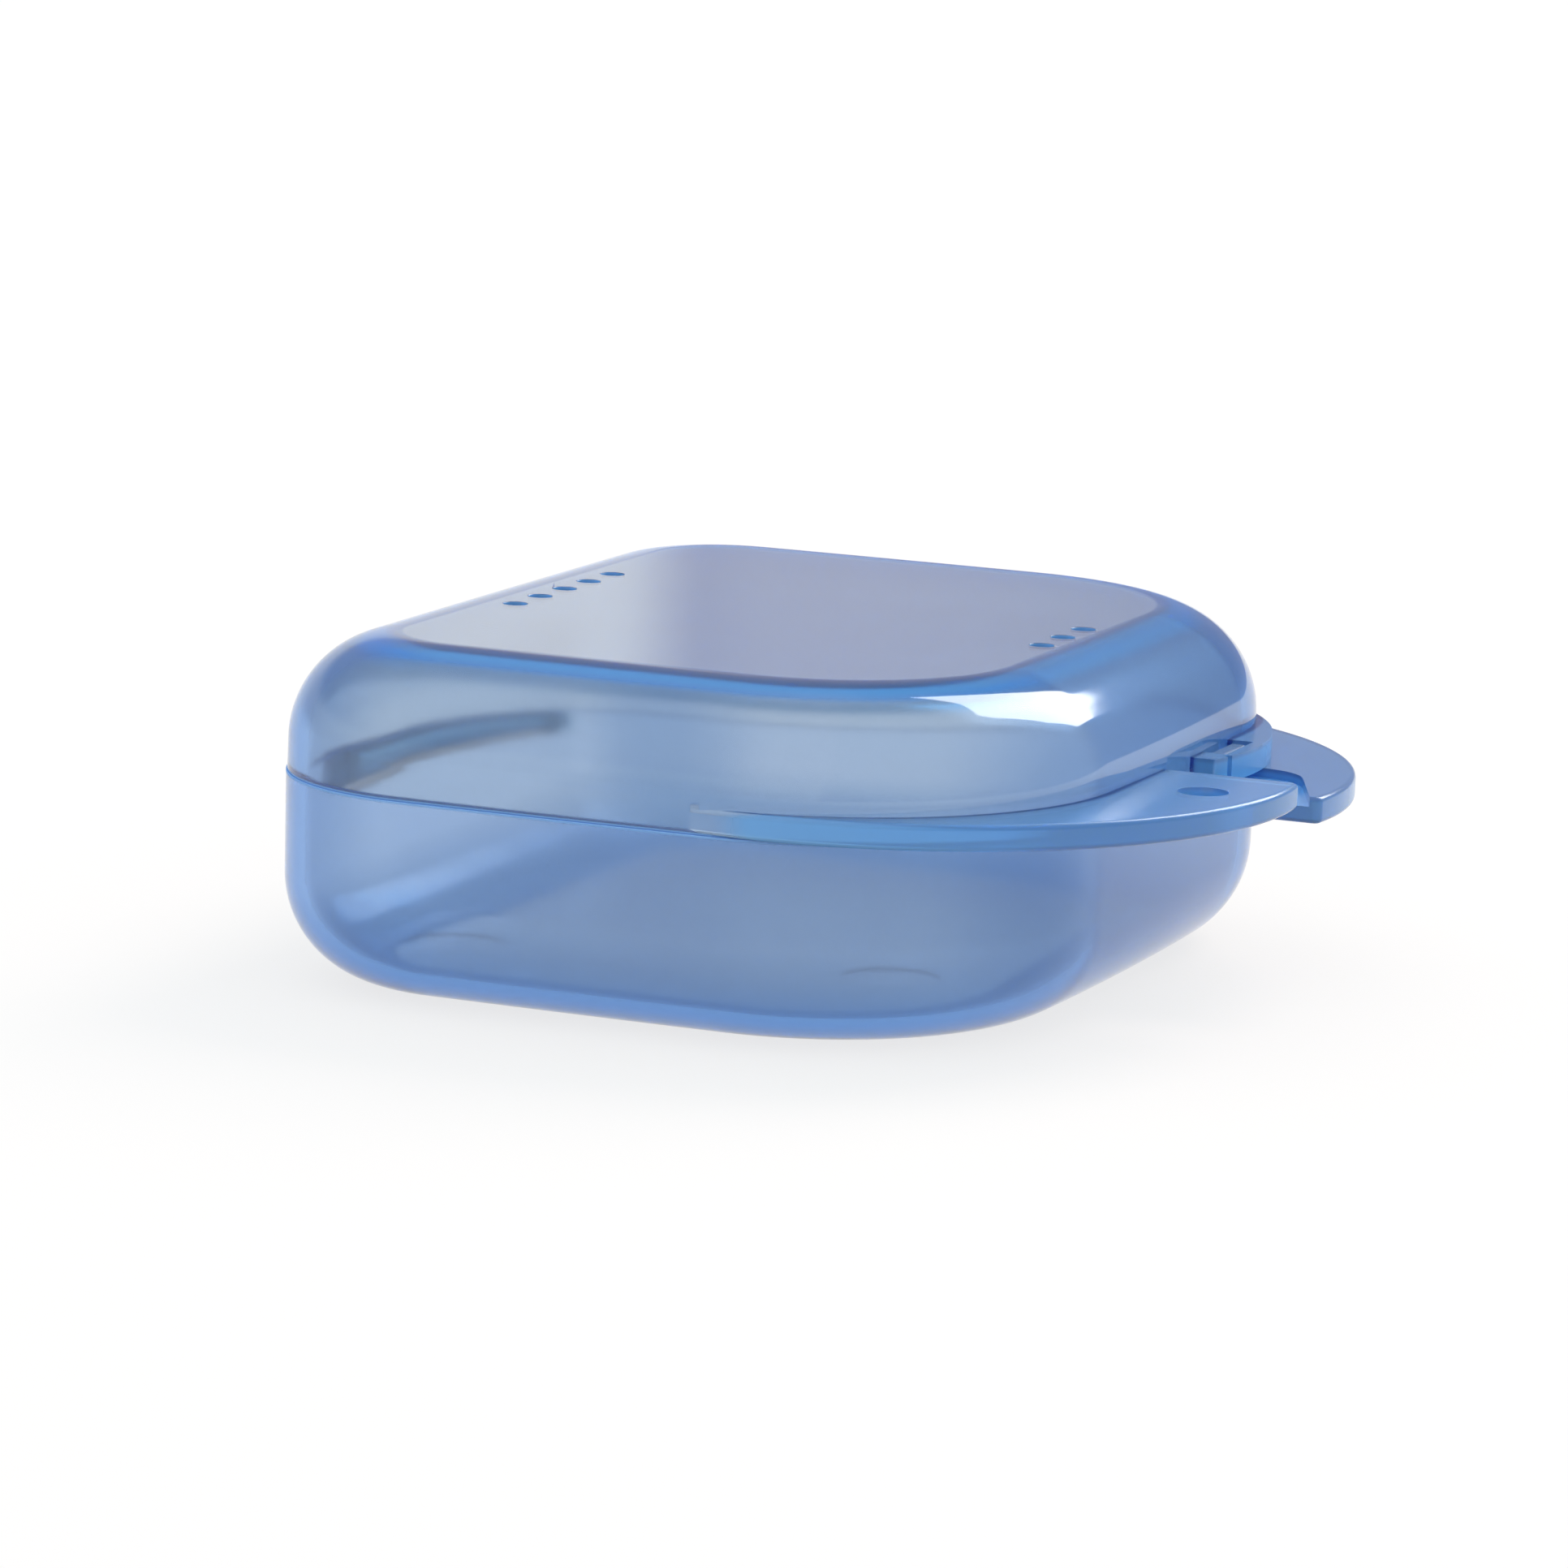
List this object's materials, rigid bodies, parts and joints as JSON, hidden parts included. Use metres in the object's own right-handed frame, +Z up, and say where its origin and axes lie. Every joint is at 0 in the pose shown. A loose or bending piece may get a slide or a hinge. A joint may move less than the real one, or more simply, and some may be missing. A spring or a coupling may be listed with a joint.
{
  "type": "retainer case",
  "caption": "Small hinged dental retainer case of translucent blue plastic, with a rounded-box body, vent holes, a split thumb tab and a lanyard hole.",
  "frame": {"origin": "centre of the flat bottom, on the plane that the case stands on", "axes": "+Z up, +X along the width (along the hinge), +Y towards the hinge side, -Y towards the thumb tabs"},
  "size_m": [0.0813, 0.078, 0.028],
  "materials": {
    "base_plastic": "translucent sky blue, polished, clear enough to see the inner floor through",
    "lid_plastic": "translucent sky blue, polished, a little paler than the base",
    "stud_plastic": "the same blue plastic, nearly opaque where it is solid"
  },
  "bodies": {
    "base": {"base_shell": "base_plastic", "hinge_stud_left": "stud_plastic", "hinge_stud_right": "stud_plastic"},
    "lid": {"lid_shell": "lid_plastic", "lid_thumb_ear": "lid_plastic"}
  },
  "joints": [
    {"name": "lid_hinge", "type": "hinge", "parent": "base", "child": "lid", "pos_m": [0, 0.03162, 0.0151], "axis": [-1, 0, 0], "range_deg": [0, 140]}
  ]
}
